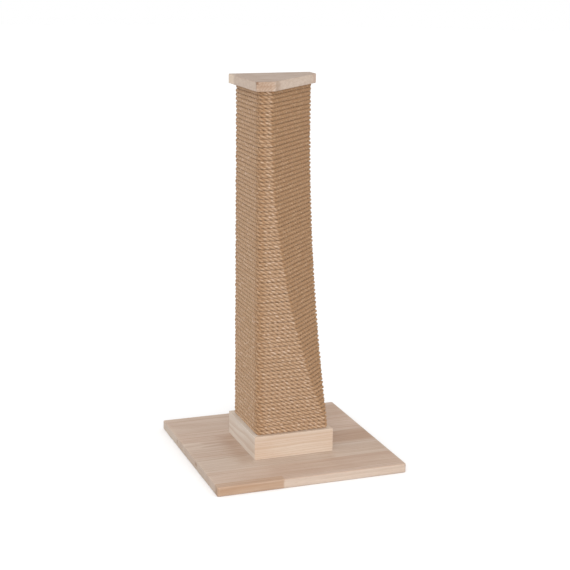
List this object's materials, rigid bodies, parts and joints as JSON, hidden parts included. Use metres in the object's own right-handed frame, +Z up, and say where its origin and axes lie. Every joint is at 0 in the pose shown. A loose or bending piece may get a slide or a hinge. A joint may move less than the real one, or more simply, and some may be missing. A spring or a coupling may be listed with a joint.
{
  "type": "cat scratching post",
  "caption": "Free-standing cat scratching post: square wooden base, mitred plinth, rope-wound square post with one concave corner face and a three-cornered wooden cap.",
  "frame": {"origin": "middle of the base board's underside, on the floor", "axes": "+Z up the post; -Y is the front edge of the base; the concave rope face looks towards +X -Y"},
  "size_m": [0.38, 0.38, 0.744],
  "materials": {
    "base_wood": "edge-glued pale hardwood staves, sanded, matt and unfinished looking",
    "plinth_wood": "pale hardwood, sanded, matt",
    "cap_wood": "edge-glued pale hardwood staves, sanded, matt",
    "core_plywood": "raw birch plywood, hidden",
    "dowel_wood": "raw beech, hidden",
    "jute_rope": "three-strand jute rope, dry and slightly hairy",
    "zinc_steel": "bright zinc plate"
  },
  "bodies": {
    "root": {"base_board": "base_wood", "plinth_front": "plinth_wood", "plinth_right": "plinth_wood", "plinth_back": "plinth_wood", "plinth_left": "plinth_wood", "core_front_panel": "core_plywood", "core_left_panel": "core_plywood", "core_right_panel": "core_plywood", "core_back_panel": "core_plywood", "core_curved_panel": "core_plywood", "foot_block": "core_plywood", "rib_lower": "core_plywood", "rib_upper": "core_plywood", "top_plate": "core_plywood", "cap_board": "cap_wood", "cap_dowels": "dowel_wood", "base_bolts": "zinc_steel", "bolt_inserts": "zinc_steel", "plinth_screws": "zinc_steel", "panel_screws": "zinc_steel", "rope_winding_1": "jute_rope", "rope_winding_2": "jute_rope", "rope_winding_3": "jute_rope", "rope_winding_4": "jute_rope", "rope_staples": "zinc_steel"}
  },
  "joints": []
}
